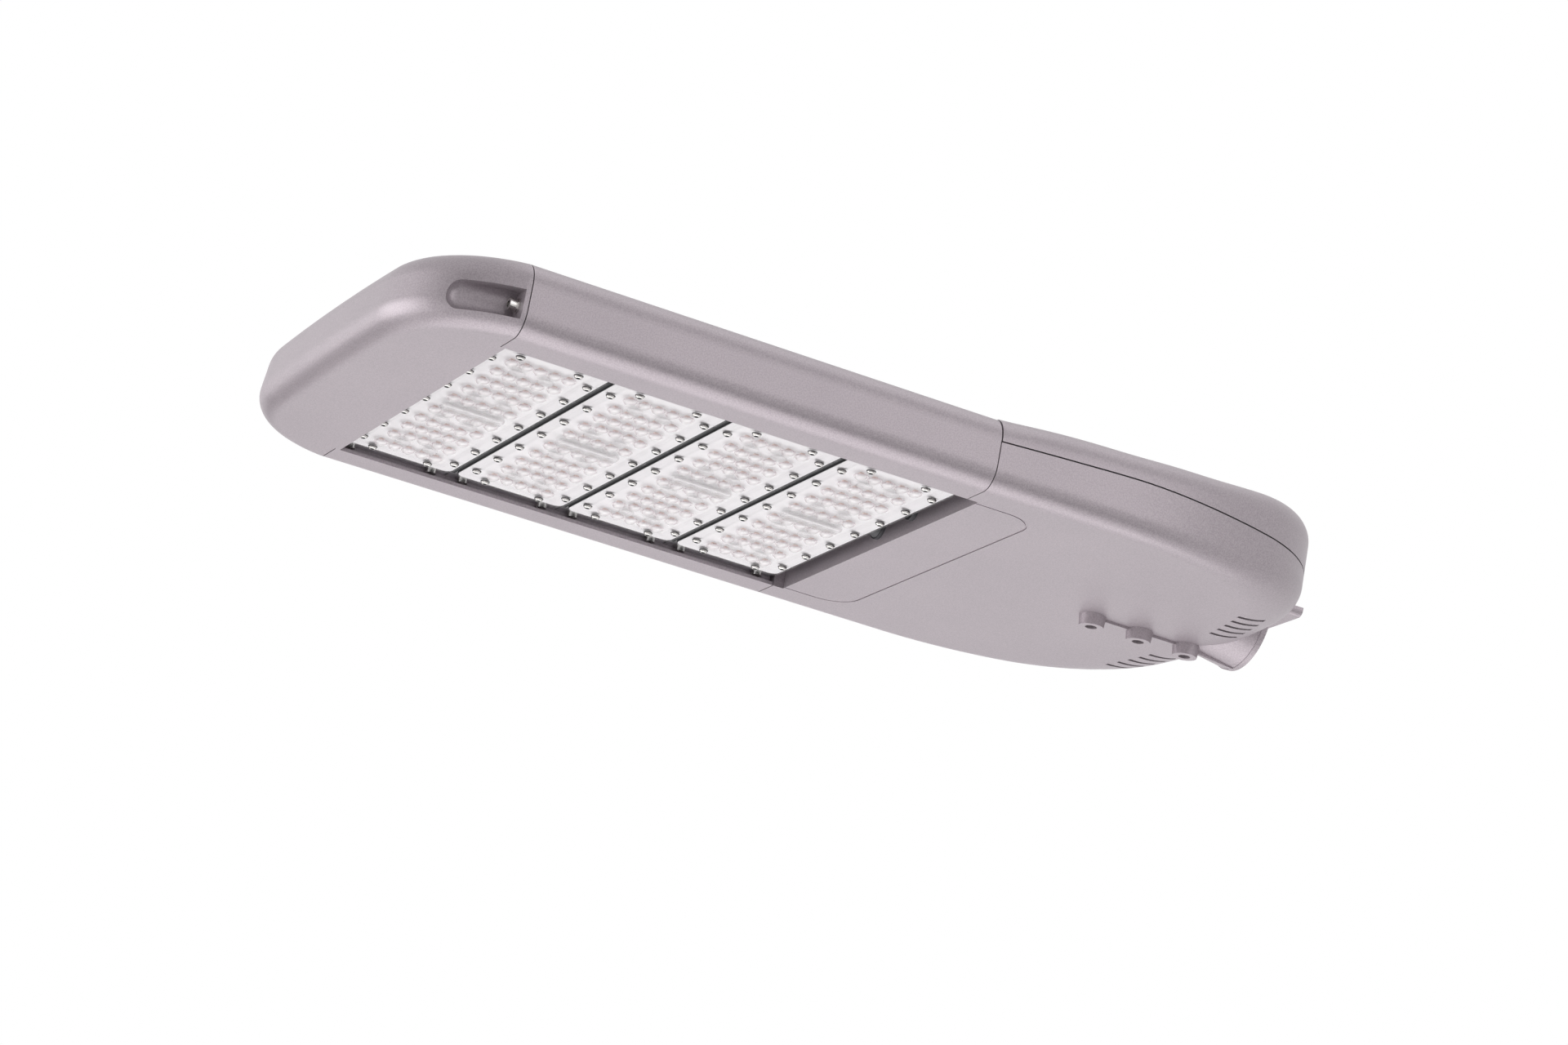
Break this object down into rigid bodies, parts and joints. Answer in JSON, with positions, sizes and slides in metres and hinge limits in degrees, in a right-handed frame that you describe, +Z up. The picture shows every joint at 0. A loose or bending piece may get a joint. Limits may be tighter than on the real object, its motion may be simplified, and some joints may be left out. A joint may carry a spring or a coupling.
{
  "type": "led street light head",
  "caption": "Street light head: lens modules on finned heat sinks between two side rails, with a nose cap and a gear housing that has a hinged cover and a pole socket.",
  "frame": {"origin": "centre of the pole socket's mouth", "axes": "+X along the socket towards the nose, +Z up; the light leaves downwards, along -Z"},
  "size_m": [0.8394, 0.4384, 0.1008],
  "materials": {
    "housing_paint": "satin silver-grey powder coat",
    "stainless_steel": "satin",
    "bare_aluminium": "satin",
    "lens_clear": "clear moulded lens plastic over a white board",
    "grey_silicone": "matte",
    "board_white": "white solder mask",
    "phosphor": "matte",
    "black_rubber": "matte",
    "zinc_plate": "zinc plated",
    "driver_case": "satin",
    "white_plastic": "matte",
    "dark_plastic": "matte"
  },
  "bodies": {
    "main": {"breather_plug": "dark_plastic", "cable_clamp": "dark_plastic", "cover_gasket": "black_rubber", "gear_plate": "zinc_plate", "gear_screws": "stainless_steel", "heat_sink_1": "bare_aluminium", "heat_sink_2": "bare_aluminium", "heat_sink_3": "bare_aluminium", "heat_sink_4": "bare_aluminium", "hinge_pins": "stainless_steel", "led_board_1": "board_white", "led_board_2": "board_white", "led_board_3": "board_white", "led_board_4": "board_white", "led_chips_1": "phosphor", "led_chips_2": "phosphor", "led_chips_3": "phosphor", "led_chips_4": "phosphor", "led_driver": "driver_case", "lens_gasket_1": "grey_silicone", "lens_gasket_2": "grey_silicone", "lens_gasket_3": "grey_silicone", "lens_gasket_4": "grey_silicone", "lens_plate_1": "lens_clear", "lens_plate_2": "lens_clear", "lens_plate_3": "lens_clear", "lens_plate_4": "lens_clear", "module_screws": "stainless_steel", "nose_cap": "housing_paint", "nose_cap_screws": "stainless_steel", "nose_cap_washers": "stainless_steel", "rail_end_screws": "stainless_steel", "rear_housing": "housing_paint", "side_rail_left": "housing_paint", "side_rail_right": "housing_paint", "socket_set_screws": "stainless_steel", "surge_protector": "dark_plastic", "terminal_block": "white_plastic", "wall_gland": "dark_plastic", "wire_gland_1": "dark_plastic", "wire_gland_2": "dark_plastic", "wire_gland_3": "dark_plastic", "wire_gland_4": "dark_plastic"},
    "cover": {"cover_screws": "stainless_steel", "top_cover": "housing_paint"}
  },
  "joints": [
    {"name": "cover_hinge", "type": "hinge", "parent": "main", "child": "cover", "pos_m": [0.349, 0, 0.018], "axis": [0, 1, 0], "range_deg": [0, 75]}
  ]
}
